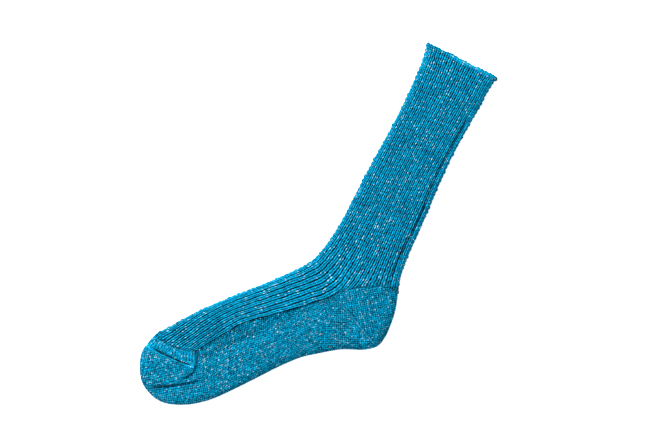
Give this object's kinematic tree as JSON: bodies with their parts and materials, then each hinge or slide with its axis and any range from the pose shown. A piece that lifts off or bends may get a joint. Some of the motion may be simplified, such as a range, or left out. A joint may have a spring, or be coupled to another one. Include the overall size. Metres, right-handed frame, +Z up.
{
  "type": "ribbed crew sock",
  "caption": "Ribbed knitted crew sock lying flat, open at the mouth, with a turned heel, plain sole and seamed toe; bends at the ankle and folds across the leg.",
  "frame": {"origin": "centre of the ankle, on the flat underside that the sock lies on", "axes": "+Y up the leg to the mouth, +Z up from the flat sock, -X towards the instep"},
  "size_m": [0.1946, 0.404, 0.015],
  "materials": {
    "rib_knit": "heather rib knit, turquoise blue with white flecks",
    "plain_knit": "heather plain knit, turquoise blue with white flecks",
    "gore_knit": "tighter diagonal stitches along the heel and toe gores",
    "seam_thread": "linked seam, raised",
    "elastic": "covered elastic thread"
  },
  "bodies": {
    "foot": {"ankle_band": "rib_knit", "instep_panel": "rib_knit", "heel_upper": "plain_knit", "heel_gore_near": "gore_knit", "heel_gore_far": "gore_knit", "heel_lower": "plain_knit", "sole_panel": "plain_knit", "plain_courses": "plain_knit", "toe_seam": "seam_thread", "toe_upper": "plain_knit", "toe_gore_near": "gore_knit", "toe_gore_far": "gore_knit", "toe_lower": "plain_knit"},
    "lower_leg": {"leg_lower": "rib_knit", "leg_fold_band": "rib_knit"},
    "upper_leg": {"leg_upper": "rib_knit", "welt_edge": "plain_knit", "welt_hem": "plain_knit", "elastic_yarn": "elastic"}
  },
  "joints": [
    {"name": "ankle_flex", "type": "hinge", "parent": "foot", "child": "lower_leg", "pos_m": [0, 0.022, 0.0075], "axis": [0, 0, 1], "range_deg": [-40, 35], "deforming": ["ankle_band"]},
    {"name": "leg_fold", "type": "hinge", "parent": "lower_leg", "child": "upper_leg", "pos_m": [0, 0.105, 0.0156], "axis": [1, 0, 0], "range_deg": [0, 175], "deforming": ["leg_fold_band"]}
  ]
}
